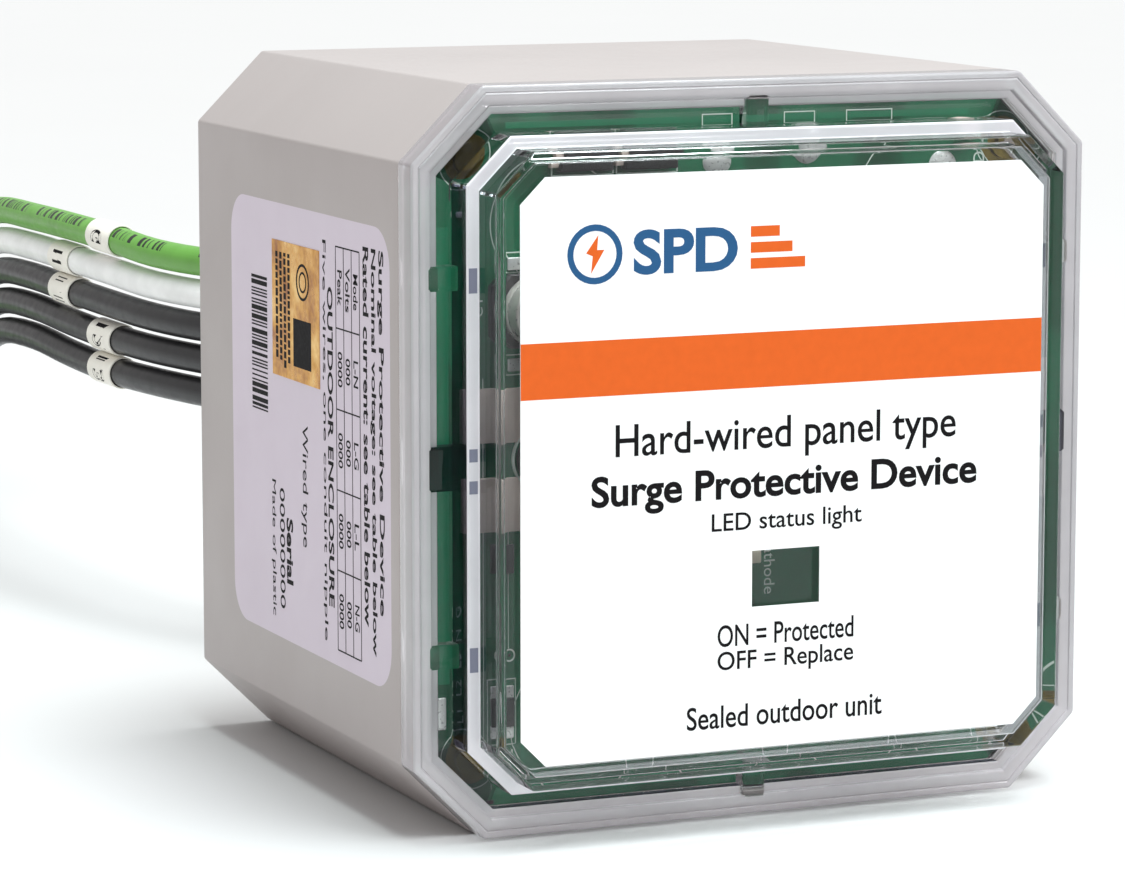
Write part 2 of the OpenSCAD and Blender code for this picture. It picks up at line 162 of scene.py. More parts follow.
def rounded(profile, steps=3):
    """Replaces each point (u, v, radius) of an open profile by an arc of that radius."""
    points = []
    for i, (u, v, radius) in enumerate(profile):
        p = Vector((u, v))
        if radius <= 0 or i in (0, len(profile) - 1):
            points.append(p)
            continue
        before = (Vector(profile[i - 1][:2]) - p)
        after = (Vector(profile[i + 1][:2]) - p)
        reach = min(radius, before.length * 0.45, after.length * 0.45)
        start, end = p + before.normalized() * reach, p + after.normalized() * reach
        for k in range(steps + 1):
            t = k / steps
            points.append(start * (1 - t) ** 2 + p * 2 * t * (1 - t) + end * t ** 2)
    return points


def octagon(half_w, half_h, chamfer, radius, steps=4):
    """Octagon outline with rounded corners, anticlockwise seen from the front, as (x, z)."""
    w, h, c = half_w, half_h, chamfer
    corners = [(w, c - h), (w, h - c), (w - c, h), (c - w, h),
               (-w, h - c), (-w, c - h), (c - w, -h), (w - c, -h)]
    corners = [Vector(p) for p in corners]
    turn = math.radians(45)
    points = []
    for i, p in enumerate(corners):
        heading = (p - corners[i - 1]).normalized()
        inward = Vector((-heading.y, heading.x))
        start = p - heading * radius * math.tan(turn / 2)
        for k in range(steps + 1):
            a = turn * k / steps
            points.append(start + inward * radius * (1 - math.cos(a)) + heading * radius * math.sin(a))
    return points


def box_outline(inset, y, radius=1.0):
    """The box's own outline at depth y, moved inwards, as frame points."""
    chamfer = CHAMFER - inset * (2 - math.sqrt(2))
    flat = octagon(HALF_W - inset, HALF_H - inset, chamfer, max(0.25, radius - inset))
    return [at(p.x, y, p.y) for p in flat]


def rounded_rectangle(u0, v0, u1, v1, radius, steps):
    """Outline of a rectangle with round corners, as (u, v)."""
    points = []
    for cu, cv, start in ((u1 - radius, v1 - radius, 0), (u0 + radius, v1 - radius, 90),
                          (u0 + radius, v0 + radius, 180), (u1 - radius, v0 + radius, 270)):
        for k in range(steps + 1):
            a = math.radians(start + 90 * k / steps)
            points.append((cu + radius * math.cos(a), cv + radius * math.sin(a)))
    return points


def lathe(profile, centre, sides=48):
    """Closed skin of revolution from (radius, distance) points in millimetres."""
    rings = []
    for r, d in profile:
        ring = []
        for k in range(sides):
            a = 2 * math.pi * k / sides
            ring.append(at(centre[0] + r * math.cos(a), d, centre[1] + r * math.sin(a)))
        rings.append(ring)
    return loft(rings)


def block(bm, lo, hi, bevel=0.0, segments=2):
    """Adds a box between two device corners, with bevelled edges."""
    a, b = at(*lo), at(*hi)
    made = bmesh.ops.create_cube(bm, size=1.0)["verts"]
    bmesh.ops.scale(bm, vec=b - a, verts=made)
    bmesh.ops.translate(bm, vec=(a + b) / 2, verts=made)
    if bevel:
        edges = list({e for v in made for e in v.link_edges})
        bmesh.ops.bevel(bm, geom=edges, offset=bevel * MM, segments=segments, profile=0.5,
                        affect="EDGES", clamp_overlap=True)


def flat_ring(bm, outer, inner, place, lift):
    """Adds a thin band between two outlines of equal length that place(u, v, w) puts."""
    rows = [[bm.verts.new(place(*p, h)) for p in line] for line, h in
            ((outer, 0), (outer, lift), (inner, lift), (inner, 0))]
    for a, b in zip(rows, rows[1:] + rows[:1]):
        for i in range(len(a)):
            j = (i + 1) % len(a)
            bm.faces.new((a[i], a[j], b[j], b[i]))


def circle(r, cx=0.0, cz=0.0, sides=32):
    return [(cx + r * math.cos(2 * math.pi * k / sides), cz + r * math.sin(2 * math.pi * k / sides))
            for k in range(sides)]


def boolean(obj, other_bm, operation):
    """Cuts or joins another closed skin into obj, for good."""
    mesh = bpy.data.meshes.new("tool")
    other_bm.to_mesh(mesh)
    other_bm.free()
    tool = add_object("tool", mesh)
    modifier = obj.modifiers.new("cut", "BOOLEAN")
    modifier.operation = operation
    modifier.solver = "EXACT"
    modifier.object = tool
    bpy.context.view_layer.update()
    graph = bpy.context.evaluated_depsgraph_get()
    made = bpy.data.meshes.new_from_object(obj.evaluated_get(graph))
    obj.modifiers.clear()
    obj.data = made
    bpy.data.objects.remove(tool)
    made.set_sharp_from_angle(angle=math.radians(35))


def rounded_copy(node, material, width, segments, body="housing"):
    """A CAD node's own shape with its edges rounded, which then stands for the node."""
    bm = bmesh.new()
    bm.from_mesh(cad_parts[node].data)
    bmesh.ops.remove_doubles(bm, verts=bm.verts, dist=0.002 * MM)
    bmesh.ops.dissolve_limit(bm, angle_limit=math.radians(1.5), verts=bm.verts, edges=bm.edges)
    edges = [e for e in bm.edges if e.is_manifold and e.calc_face_angle() > math.radians(40)]
    bmesh.ops.bevel(bm, geom=edges, offset=width * MM, segments=segments, profile=0.5,
                    affect="EDGES", clamp_overlap=True)
    piece(node + "_piece", bm, material, body, (node,))


# --- materials ---

GLOSS_DRIFT = 0.05
# Lower than that of real polycarbonate, so that the board stays readable in this light
COVER_IOR = 1.36

def nodes_of(name, **sockets):
    """A material with a Principled shader whose plain sockets are set directly."""
    material = bpy.data.materials.new(name)
    material.use_nodes = True
    shader = material.node_tree.nodes["Principled BSDF"]
    for key, value in sockets.items():
        shader.inputs[key.replace("_", " ")].default_value = value
    return material, material.node_tree, shader


def srgb(r, g, b):
    """Linear colour from the usual 0 to 255 values."""
    def one(v):
        v /= 255
        return v / 12.92 if v <= 0.04045 else ((v + 0.055) / 1.055) ** 2.4
    return (one(r), one(g), one(b), 1.0)


def add_node(tree, kind, source, socket, **values):
    """Adds a shader node, sets its plain sockets and feeds source into one of them."""
    node = tree.nodes.new(kind)
    for key, value in values.items():
        node.inputs[key.replace("_", " ")].default_value = value
    tree.links.new(source, node.inputs[socket])
    return node


def noise(tree, scale, detail=3.0, rough=0.5, stretch=(1, 1, 1)):
    """Object-space noise; scale is features per metre."""
    place = tree.nodes.new("ShaderNodeTexCoord").outputs["Object"]
    mapping = add_node(tree, "ShaderNodeMapping", place, "Vector", Scale=stretch)
    return add_node(tree, "ShaderNodeTexNoise", mapping.outputs["Vector"], "Vector", Scale=scale,
                    Detail=detail, Roughness=rough).outputs["Fac"]


def ramp(tree, source, stops):
    node = tree.nodes.new("ShaderNodeValToRGB")
    node.color_ramp.elements[0].position, node.color_ramp.elements[0].color = stops[0]
    node.color_ramp.elements[1].position, node.color_ramp.elements[1].color = stops[-1]
    for position, colour in stops[1:-1]:
        node.color_ramp.elements.new(position).color = colour
    tree.links.new(source, node.inputs["Fac"])
    return node.outputs["Color"]


def spread(tree, source, low, high, start=0.3, end=0.7):
    return add_node(tree, "ShaderNodeMapRange", source, "Value", From_Min=start, From_Max=end,
                    To_Min=low, To_Max=high).outputs["Result"]


def bump(tree, shader, source, height, strength=1.0):
    node = add_node(tree, "ShaderNodeBump", source, "Height", Strength=strength, Distance=height * MM)
    tree.links.new(node.outputs["Normal"], shader.inputs["Normal"])


def tint_with(tree, shader, source, stops):
    tree.links.new(ramp(tree, source, stops), shader.inputs["Base Color"])


def gloss_with(tree, shader, source, low, high):
    tree.links.new(spread(tree, source, low, high), shader.inputs["Roughness"])


def shade(colour, factor):
    return tuple(min(1.0, c * factor) for c in colour[:3]) + (1.0,)


def surface(name, colour, roughness, drift=0.06, patch=300, grain=0, height=0.02, **sockets):
    """Solid material: colour and gloss drift over patches, and a grain stands up a little."""
    material, tree, shader = nodes_of(name, **sockets)
    stops = [(0.3, shade(colour, 1 - drift)), (0.7, shade(colour, 1 + drift))]
    tint_with(tree, shader, noise(tree, patch), stops)
    gloss_with(tree, shader, noise(tree, patch * 2.3), roughness - GLOSS_DRIFT, roughness + GLOSS_DRIFT)
    if grain:
        bump(tree, shader, noise(tree, grain, 4.0, 0.6), height)
    return material


def pass_light(material, tree, shader):
    """Lets lamps shine through a clear material instead of throwing a solid shadow."""
    path = tree.nodes.new("ShaderNodeLightPath")
    opening = tree.nodes.new("ShaderNodeBsdfTransparent")
    opening.inputs["Color"].default_value = (0.9, 0.9, 0.9, 1)
    mix = tree.nodes.new("ShaderNodeMixShader")
    tree.links.new(path.outputs["Is Shadow Ray"], mix.inputs["Fac"])
    tree.links.new(shader.outputs["BSDF"], mix.inputs[1])
    tree.links.new(opening.outputs["BSDF"], mix.inputs[2])
    tree.links.new(mix.outputs["Shader"], tree.nodes["Material Output"].inputs["Surface"])
    return material


def clear(name, tint):
    """Clear moulded plastic with the faint ripple of its mould."""
    material, tree, shader = nodes_of(name, Transmission_Weight=1.0, IOR=COVER_IOR, Specular_IOR_Level=0.2)
    tint_with(tree, shader, noise(tree, 40), [(0.3, shade(tint, 0.985)), (0.7, tint)])
    gloss_with(tree, shader, noise(tree, 300), 0.0072, 0.0192)
    bump(tree, shader, noise(tree, 90, 2.0), 0.02, 0.25)
    return pass_light(material, tree, shader)


def hazy(name, tint, share, roughness):
    """Clear plastic seen on edge: part of the light passes, the rest scatters near its face. For the tread
    and the block patches its colour is painted highlight and painted shadow.
    """
    material, tree, shader = nodes_of(name, Transmission_Weight=share, IOR=1.49, Coat_Weight=0.6,
                                      Coat_Roughness=0.04)
    tint_with(tree, shader, noise(tree, 70, 3.0, 0.6), [(0.3, shade(tint, 0.93)), (0.7, shade(tint, 1.05))])
    gloss_with(tree, shader, noise(tree, 120), roughness - 0.05, roughness + 0.06)
    bump(tree, shader, noise(tree, 110, 2.0), 0.05, 0.3)
    return pass_light(material, tree, shader)


def laminate(name):
    """Solder mask over copper: broad darker and paler fields with the glass weave under them."""
    material, tree, shader = nodes_of(name, Coat_Weight=0.25, Coat_Roughness=0.12, Specular_IOR_Level=0.25)
    fields = noise(tree, 55, 1.0, 0.4, stretch=(1, 1, 0.6))
    tint_with(tree, shader, fields, [(0.36, srgb(4, 70, 44)), (0.47, srgb(6, 84, 54)),
                                     (0.5, srgb(12, 100, 66)), (0.66, srgb(16, 106, 70))])
    gloss_with(tree, shader, noise(tree, 900), 0.3, 0.45)
    bump(tree, shader, noise(tree, 2600, 2.0, stretch=(1, 1, 0.4)), 0.01, 0.5)
    return material


def hologram(name):
    """Embossed gold foil: fine crossed facets that turn from copper to pale gold."""
    material, tree, shader = nodes_of(name, Metallic=1.0, Specular_IOR_Level=0.6)
    place = tree.nodes.new("ShaderNodeTexCoord").outputs["Object"]
    cells = add_node(tree, "ShaderNodeTexVoronoi", place, "Vector", Scale=520.0)
    tint_with(tree, shader, noise(tree, 110, 4.0, 0.7),
              [(0.32, srgb(150, 88, 30)), (0.5, srgb(206, 150, 62)), (0.7, srgb(238, 200, 128))])
    gloss_with(tree, shader, noise(tree, 260), 0.22, 0.42)
    bump(tree, shader, cells.outputs["Distance"], 0.06, 0.6)
    return material


def maths(tree, operation, source, *others):
    """A maths node on source and up to two more sockets or numbers."""
    node = tree.nodes.new("ShaderNodeMath")
    node.operation = operation
    tree.links.new(source, node.inputs[0])
    for socket, other in zip(node.inputs[1:], others):
        if isinstance(other, float):
            socket.default_value = other
        else:
            tree.links.new(other, socket)
    return node.outputs["Value"]


def noise_1d(tree, source, scale, detail=2.0):
    node = tree.nodes.new("ShaderNodeTexNoise")
    node.noise_dimensions = "1D"
    node.inputs["Scale"].default_value = scale
    node.inputs["Detail"].default_value = detail
    tree.links.new(source, node.inputs["W"])
    return node.outputs["Fac"]


def insulation(name, colour, roughness, mark=None):
    """Extruded lead insulation with faint lengthwise draw lines and, on some leads, print.
    The tube's UV runs around the lead in u and along it, in metres, in v."""
    material, tree, shader = nodes_of(name, IOR=1.5)
    uv = tree.nodes.new("ShaderNodeUVMap")
    uv.uv_map = "along"
    split = tree.nodes.new("ShaderNodeSeparateXYZ")
    tree.links.new(uv.outputs["UV"], split.inputs["Vector"])
    base = ramp(tree, noise(tree, 160), [(0.3, shade(colour, 0.93)), (0.7, shade(colour, 1.07))])
    if mark:
        strokes = noise_1d(tree, maths(tree, "MULTIPLY", split.outputs["Y"], 640.0), 1.0, 1.0)
        words = noise_1d(tree, split.outputs["Y"], 60.0, 0.0)
        product = spread(tree, strokes, 0.0, 1.0, 0.5, 0.53)
        for factor in (spread(tree, words, 0.0, 1.0, 0.42, 0.44),
                       maths(tree, "COMPARE", split.outputs["X"], mark, 0.07)):
            product = maths(tree, "MULTIPLY", product, factor)
        mix = tree.nodes.new("ShaderNodeMix")
        mix.data_type = "RGBA"
        mix.inputs["B"].default_value = srgb(14, 26, 14)
        tree.links.new(product, mix.inputs["Factor"])
        tree.links.new(base, mix.inputs["A"])
        base = mix.outputs["Result"]
    tree.links.new(base, shader.inputs["Base Color"])
    gloss_with(tree, shader, noise(tree, 500), roughness - 0.06, roughness + 0.08)
    bump(tree, shader, noise_1d(tree, split.outputs["X"], 26.0), 0.05, 0.5)
    return material


MAT = {
    "box": surface("box_plastic", srgb(170, 161, 159), 0.42, drift=0.02, patch=25, grain=2400),
    "cover": clear("clear_plastic", (0.965, 0.975, 0.975, 1)),
    # Painted shadow: a near-black tint on the middle blocks and along the inner edge of the bead
    "painted_shadow": clear("painted_shadow_plastic", (0.03, 0.03, 0.05, 1)),
    # Painted shade: a grey tint on the diagonal corners of the channel and on the side walls of the upper
    # step
    "shade": clear("shaded_plastic", (0.3, 0.31, 0.32, 1)),
    # Painted shadow: bluish grey, mostly opaque patches on the lower step where each block shades it
    "block_shadow": hazy("painted_block_shadow", srgb(128, 130, 150), 0.1, 0.14),
    "lip": hazy("clear_lip", srgb(224, 219, 223), 0.5, 0.12),
    "flange": hazy("clear_flange_side", srgb(190, 180, 184), 0.4, 0.12),
    # Painted highlight: the tread of the lower step is near-white and mostly opaque, where the clear wall
    # shines with light reflected inside it
    "tread": hazy("clear_tread", srgb(246, 242, 248), 0.25, 0.14),
    "label": surface("label_film", srgb(250, 250, 250), 0.4, drift=0.008, patch=90, grain=900, height=0.004,
                     Specular_IOR_Level=0.2),
    "rating": surface("rating_paper", srgb(208, 196, 208), 0.4, drift=0.012, patch=80, grain=1300,
                      height=0.006, Specular_IOR_Level=0.3),
    "orange": surface("orange_ink", srgb(222, 98, 36), 0.5, drift=0.03, patch=500, Specular_IOR_Level=0.12),
    "blue": surface("blue_ink", srgb(42, 88, 132), 0.5, drift=0.03, patch=500, Specular_IOR_Level=0.12),
    "black": surface("black_ink", srgb(22, 20, 22), 0.6, drift=0.1, patch=700, Specular_IOR_Level=0.08),
    "foil": hologram("gold_foil"),
    "board": laminate("board_laminate"),
    "track": surface("board_track", srgb(24, 116, 80), 0.36, drift=0.05, patch=200, grain=2000, height=0.008,
                     Specular_IOR_Level=0.25),
    "silk": surface("silk_ink", srgb(212, 224, 214), 0.6, drift=0.04, patch=900),
    "gold": surface("gold_pad", srgb(118, 102, 46), 0.32, patch=700, grain=2500, height=0.01, Metallic=0.85),
    "solder": surface("solder", srgb(214, 214, 212), 0.3, patch=700, grain=900, height=0.05, Metallic=0.45),
    "can": surface("aluminium_can", srgb(198, 192, 186), 0.3, grain=3000, height=0.01,
                   Metallic=0.4),
    "bar": surface("tinned_bar", srgb(216, 197, 188), 0.5, drift=0.04, patch=180, grain=1600,
                   Metallic=0.1),
    "chip": surface("black_moulding", srgb(34, 32, 34), 0.5, drift=0.12, patch=500, grain=2600),
    "seal": surface("cover_seal_rubber", srgb(206, 206, 204), 0.7, grain=1500, height=0.03),
    "rubber": surface("black_rubber", srgb(30, 30, 31), 0.72, drift=0.15, grain=1700, height=0.05),
    "potting": surface("potting_resin", srgb(52, 50, 50), 0.34, drift=0.1, patch=240, grain=420, height=0.12),
    "zinc": surface("zinc_plate", srgb(186, 190, 196), 0.3, drift=0.08, patch=260, grain=1200,
                    Metallic=1.0),
    "module": surface("module_plastic", srgb(58, 84, 118), 0.45, patch=80, grain=2200),
    "disc": surface("varistor_epoxy", srgb(44, 76, 160), 0.38, patch=150, grain=500, height=0.08),
    "shield": surface("shield_plastic", srgb(226, 220, 204), 0.5, patch=150, grain=2000),
    "spring": surface("spring_steel", srgb(180, 184, 190), 0.28, patch=700, grain=2500, height=0.005,
                      Metallic=1.0),
    "copper": surface("bare_copper", srgb(198, 120, 76), 0.3, patch=500, grain=2500, height=0.01,
                      Metallic=1.0),
    "led": surface("led_body", srgb(232, 222, 200), 0.4, drift=0.05, patch=700),
    "sleeve": surface("marker_sleeve", srgb(236, 232, 222), 0.42, drift=0.03, grain=900,
                      height=0.02),
    "tie": surface("strap_webbing", srgb(40, 40, 43), 0.75, drift=0.15, patch=500, grain=2600, height=0.08),
    "wire": surface("inner_wire", srgb(40, 40, 42), 0.4, drift=0.1, grain=900),
    "green": insulation("green_insulation", srgb(98, 158, 62), 0.36, mark=0.36),
    "white": insulation("white_insulation", srgb(238, 238, 236), 0.36),
    "dark": insulation("black_insulation", srgb(34, 33, 35), 0.34),
}


# --- leads ---

LEAD_D = 6.2
LEAD_LENGTH = 914.4
SLEEVE_L = 12.0
# The route that part.scad sweeps: x, y, height of the middle lead, spacing, share of the ring
ROW_ROUTE = [
    (0, 72, 64, 0, 1), (0, 84, 64, 0, 1), (-3, 98, 64, 3.4, 0.85), (-9, 114, 63.6, 5.8, 0.5),
    (-18, 131, 63.4, 7, 0.15), (-27, 149, 63.4, 7, 0), (-33, 170, 63.8, 7, 0),
    (-36, 192, 64.6, 7.3, 0), (-38, 215, 65.4, 7.2, 0), (-39, 240, 66, 6.9, 0),
    (-39.5, 265, 65, 7.1, 0), (-38, 290, 59, 7.7, 0), (-34, 315, 48, 8.2, 0),
    (-28.5, 340, 34, 8, 0), (-24, 364, 22, 7.1, 0), (-22, 386, 16, 6.4, 0),
]
RING_R = 5.6
RING_ANGLES = (306, 234, 18, 162, 90)
COIL_R = 45.0
COIL_STEP = 6.95
COIL_BORE_R, COIL_TOP = 24.2, 32.3
STRAP_T, STRAP_W = 0.8, 8.0
STRAP_ANGLES = (55, 165)
LEADS = [
    ("line_lead_3", "dark", "black_insulation", "line_marker_3", "L3"),
    ("line_lead_2", "dark", "black_insulation", "line_marker_2", "L2"),
    ("line_lead_1", "dark", "black_insulation", "line_marker_1", "L1"),
    ("neutral_lead", "white", "white_insulation", "neutral_marker", "N"),
    ("ground_lead", "green", "green_insulation", "ground_marker", "G"),
]


def route_points(k):
    """Chosen points of lead k, bottom lead first, in millimetres in the frame."""
    a = math.radians(RING_ANGLES[k])
    return [Vector((x + ring * RING_R * math.cos(a), y, z + ring * RING_R * math.sin(a) + (k - 2) * gap))
            for x, y, z, gap, ring in ROW_ROUTE]


def smooth_line(points, steps):
    """Catmull-Rom curve through the points."""
    line = []
    last = len(points) - 1
    for i in range(last):
        p0 = points[i - 1] if i else points[0] * 2 - points[1]
        p1, p2 = points[i], points[i + 1]
        p3 = points[i + 2] if i + 2 <= last else p2 * 2 - p1
        for s in range(steps):
            t = s / steps
            line.append(0.5 * ((2 * p1) + (p2 - p0) * t + (2 * p0 - 5 * p1 + 4 * p2 - p3) * t * t
                               + (3 * p1 - p0 - 3 * p2 + p3) * t ** 3))
    line.append(points[-1])
    return line


def lead_line(k):
    """The whole centreline of lead k: its route, then flat inward turns until its length is used."""
    line = smooth_line(route_points(k), 4)
    used = sum((b - a).length for a, b in zip(line, line[1:]))
    end = line[-1]
    centre = Vector((end.x - COIL_R, end.y, end.z))
    angle = 0.0
    step = math.radians(6)
    while used < LEAD_LENGTH:
        angle += step
        r = COIL_R - COIL_STEP * angle / (2 * math.pi)
        p = centre + Vector((r * math.cos(angle), r * math.sin(angle), 0))
        length = (p - line[-1]).length
        if used + length > LEAD_LENGTH:
            p = line[-1] + (p - line[-1]) * ((LEAD_LENGTH - used) / length)
            length = LEAD_LENGTH - used
        line.append(p)
        used += length
        if LEAD_LENGTH - used < 0.01:
            break
    return [p * MM for p in line]


def frame_on(line, i):
    """Direction, side and up at point i of a line that stays clear of straight up."""
    d = (line[min(i + 1, len(line) - 1)] - line[max(i - 1, 0)]).normalized()
    side = d.cross(Vector((0, 0, 1))).normalized()
    return d, side, side.cross(d)


def ring_round(place, side, up, radius, sides):
    return [place + radius * (math.cos(t) * side + math.sin(t) * up)
            for t in (2 * math.pi * k / sides for k in range(sides))]


def sweep(line, radius, sides=20):
    """Tube round a line, with UV 'along'."""
    bm = bmesh.new()
    uv = bm.loops.layers.uv.new("along")
    rows, along = [], [0.0]
    for a, b in zip(line, line[1:]):
        along.append(along[-1] + (b - a).length)
    for i, p in enumerate(line):
        rows.append([bm.verts.new(q) for q in ring_round(p, *frame_on(line, i)[1:], radius, sides)])
    for i in range(len(rows) - 1):
        for k in range(sides):
            j = (k + 1) % sides
            face = bm.faces.new((rows[i][k], rows[i][j], rows[i + 1][j], rows[i + 1][k]))
            for loop, (u, v) in zip(face.loops, ((k, i), (k + 1, i), (k + 1, i + 1), (k, i + 1))):
                loop[uv].uv = (u / sides, along[v])
    bm.faces.new(reversed(rows[0]))
    bm.faces.new(rows[-1])
    bmesh.ops.recalc_face_normals(bm, faces=bm.faces)
    return bm


def lead_end(k, line):
    """Seven-strand cut end of a lead, a little way out of its insulation."""
    d, side, up = frame_on(line, len(line) - 1)
    bm = bmesh.new()
    strand = 0.8 * MM
    centres = [Vector((0, 0))] + [Vector((math.cos(a), math.sin(a))) * 2 * strand
                                  for a in (math.pi * n / 3 for n in range(6))]
    for c in centres:
        base = line[-1] + side * c.x + up * c.y
        add_mesh(bm, loft([ring_round(base + d * reach * MM, side, up, strand * r, 10)
                           for reach, r in ((-1.0, 1.0), (2.2, 1.0), (2.5, 0.8))]))
    return piece(f"lead_end_{k}", bm, MAT["copper"])


def print_text(bm, words, width, height, place, bold=0.0):
    """Adds letters that fill width by height, centred on (0, 0) of place(u, v, w)."""
    curve = bpy.data.curves.new("words", "FONT")
    curve.body = words
    curve.size = 1.0
    curve.offset = bold
    curve.resolution_u = 5
    holder = add_object("words", curve)
    bpy.context.view_layer.update()
    mesh = bpy.data.meshes.new_from_object(holder)
    bpy.data.objects.remove(holder)
    x0, x1 = (end(v.co.x for v in mesh.vertices) for end in (min, max))
    y0, y1 = (end(v.co.y for v in mesh.vertices) for end in (min, max))
    part = bmesh.new()
    part.from_mesh(mesh)
    bpy.data.meshes.remove(mesh)
    made = bmesh.ops.extrude_face_region(part, geom=part.faces)["geom"]
    top = {v for v in made if isinstance(v, bmesh.types.BMVert)}
    for v in part.verts:
        u = ((v.co.x - x0) / (x1 - x0) - 0.5) * width
        w = ((v.co.y - y0) / (y1 - y0) - 0.5) * height
        v.co = place(u, w, INK if v in top else 0.0)
    bmesh.ops.recalc_face_normals(part, faces=part.faces)
    add_mesh(bm, part)


def print_shape(bm, outline, place, low=0.0, high=INK):
    """Adds a thin printed shape with the given outline of (u, v) points."""
    under = [bm.verts.new(place(u, v, low)) for u, v in outline]
    over = [bm.verts.new(place(u, v, high)) for u, v in outline]
    bm.faces.new(reversed(under))
    bm.faces.new(over)
    for i in range(len(outline)):
        j = (i + 1) % len(outline)
        bm.faces.new((under[i], under[j], over[j], over[i]))


def print_bar(bm, u0, v0, u1, v1, place, lift=INK):
    """Adds a thin printed rectangle."""
    print_shape(bm, [(u0, v0), (u1, v0), (u1, v1), (u0, v1)], place, 0.0, lift)


def make_marker(node, line, letter):
    """Printed sleeve on a lead: a thin tube with rolled ends and one dark letter."""
    lo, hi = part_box(node)
    centre = (lo + hi) / 2
    i = min(range(len(line)), key=lambda n: (line[n] - centre).length)
    d, side, up = frame_on(line, i)
    inner, outer, half = LEAD_D / 2 + 0.12, LEAD_D / 2 + 0.45, SLEEVE_L / 2
    profile = rounded([(inner, -half, 0), (outer, -half, 0.15), (outer, half, 0.15), (inner, half, 0)], 3)
    rings = [ring_round(centre + d * p.y * MM, side, up, p.x * MM, 40) for p in profile]
    sleeve = piece(node + "_piece", loft(rings, closed=True), MAT["sleeve"], replaces=(node,))
    turn = math.radians(172)

    def wrapped(u, v, w):
        a = turn + u / outer
        return centre + d * v * MM + (side * math.cos(a) + up * math.sin(a)) * (outer + 0.01 + w) * MM

    bm = bmesh.new()
    print_text(bm, letter, 3.0 * len(letter), 5.6, wrapped, bold=0.03)
    ink = piece(node + "_letter", bm, MAT["black"])
    return [sleeve, ink]


def make_tie(number, angle):
    """Strap round the wound leads at one place of the coil, thin where it lies on the table."""
    end = route_points(0)[-1]
    centre = Vector((end.x - COIL_R, end.y, 0))
    outward = Vector((math.cos(angle), math.sin(angle), 0))
    along = Vector((-outward.y, outward.x, 0))
    far = COIL_R - COIL_STEP * angle / (2 * math.pi) + LEAD_D / 2 + 0.3
    outer = rounded_rectangle(COIL_BORE_R - STRAP_T, 0.01, far + STRAP_T, COIL_TOP + STRAP_T, 3.0, 6)
    inner = rounded_rectangle(COIL_BORE_R, 0.08, far, COIL_TOP, 2.4, 6)
    half = STRAP_W / 2
    rings = [[(centre + outward * u + Vector((0, 0, v)) + along * w) * MM for u, v in outline]
             for outline, w in ((outer, 0.3 - half), (outer, half - 0.3), (inner, half), (inner, -half))]
    return piece(f"coil_strap_{number}", loft(rings, closed=True), MAT["tie"])


def make_leads():
    for k, (node, colour, slot, marker, letter) in enumerate(LEADS):
        line = lead_line(k)
        tube = piece(node + "_piece", sweep(line, LEAD_D / 2 * MM), MAT[colour], replaces=(node,))
        if k == 0:
            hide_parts("lead_coil")
        extras = make_marker(marker, line, letter)
        extras.append(lead_end(k, line))
        if k == 0:
            extras += [make_tie(n, math.radians(a)) for n, a in enumerate(STRAP_ANGLES, 1)]


make_camera()
make_leads()


# --- box ---


POST_R, POST_INSET = 3.6, 12.6
SCREW_R = 1.5
BORE_R = 13.385
RATING_RADIUS = 7.0
RECESS_DEPTH = 0.2


def at_posts(radius, near, far, sides):
    """Four round bars at the board posts, from depth near to far."""
    bars = bmesh.new()
    for sx, sz in CORNERS:
        place = (sx * (HALF_W - POST_INSET), sz * (HALF_H - POST_INSET))
        add_mesh(bars, lathe([(radius, near), (radius, far)], place, sides=sides))
    return bars


def make_box():
    """Moulded box: rounded edges, seal groove in its rim, bored back wall, board posts."""
    rim = [(0.0, BODY_D - 0.9, 0), (0.0, 0.0, 0.3), (0.9, 0.0, 0.1), (0.9, 1.2, 0.1), (2.1, 1.2, 0.1),
           (2.1, 0.0, 0.1), (WALL, 0.0, 0.3), (WALL, BODY_D - WALL - 0.6, 0)]
    back = rounded([(3.0, BODY_D, 0), (0.0, BODY_D, 0.9), (0.0, BODY_D - 4, 0)], 5)
    floor_y = BODY_D - WALL
    floor = rounded([(WALL, floor_y - 4, 0), (WALL, floor_y, 1.0), (WALL + 3, floor_y, 0)], 3)
    points = back[:-1] + rounded(rim)[1:-1] + floor[1:]
    box = piece("enclosure_shell", loft([box_outline(p.x, p.y) for p in points]), MAT["box"],
                replaces=("enclosure_body",))
    boolean(box, at_posts(POST_R, 2.4, BODY_D - 1.5, 32), "UNION")
    bore = lathe([(BORE_R, BODY_D - WALL - 1), (BORE_R, BODY_D + 1)], (0, 0), sides=96)
    boolean(box, bore, "DIFFERENCE")
    boolean(box, at_posts(SCREW_R, -1, 13.4, 24), "DIFFERENCE")
    outline = rounded_rectangle(depth_of(RATING_LO), (RATING_LO.z - MID_Z) / MM,
                                depth_of(RATING_HI), (RATING_HI.z - MID_Z) / MM, RATING_RADIUS, 10)
    recess = loft([[at(x, y, z) for y, z in outline] for x in (-HALF_W + RECESS_DEPTH, -HALF_W - 1)])
    boolean(box, recess, "DIFFERENCE")


MIDDLE_BLOCK = 7.6
SIDE_BLOCK = 4.2
COVER_ZONES = ("cover", "flange", "lip", "tread", "painted_shadow", "shade")


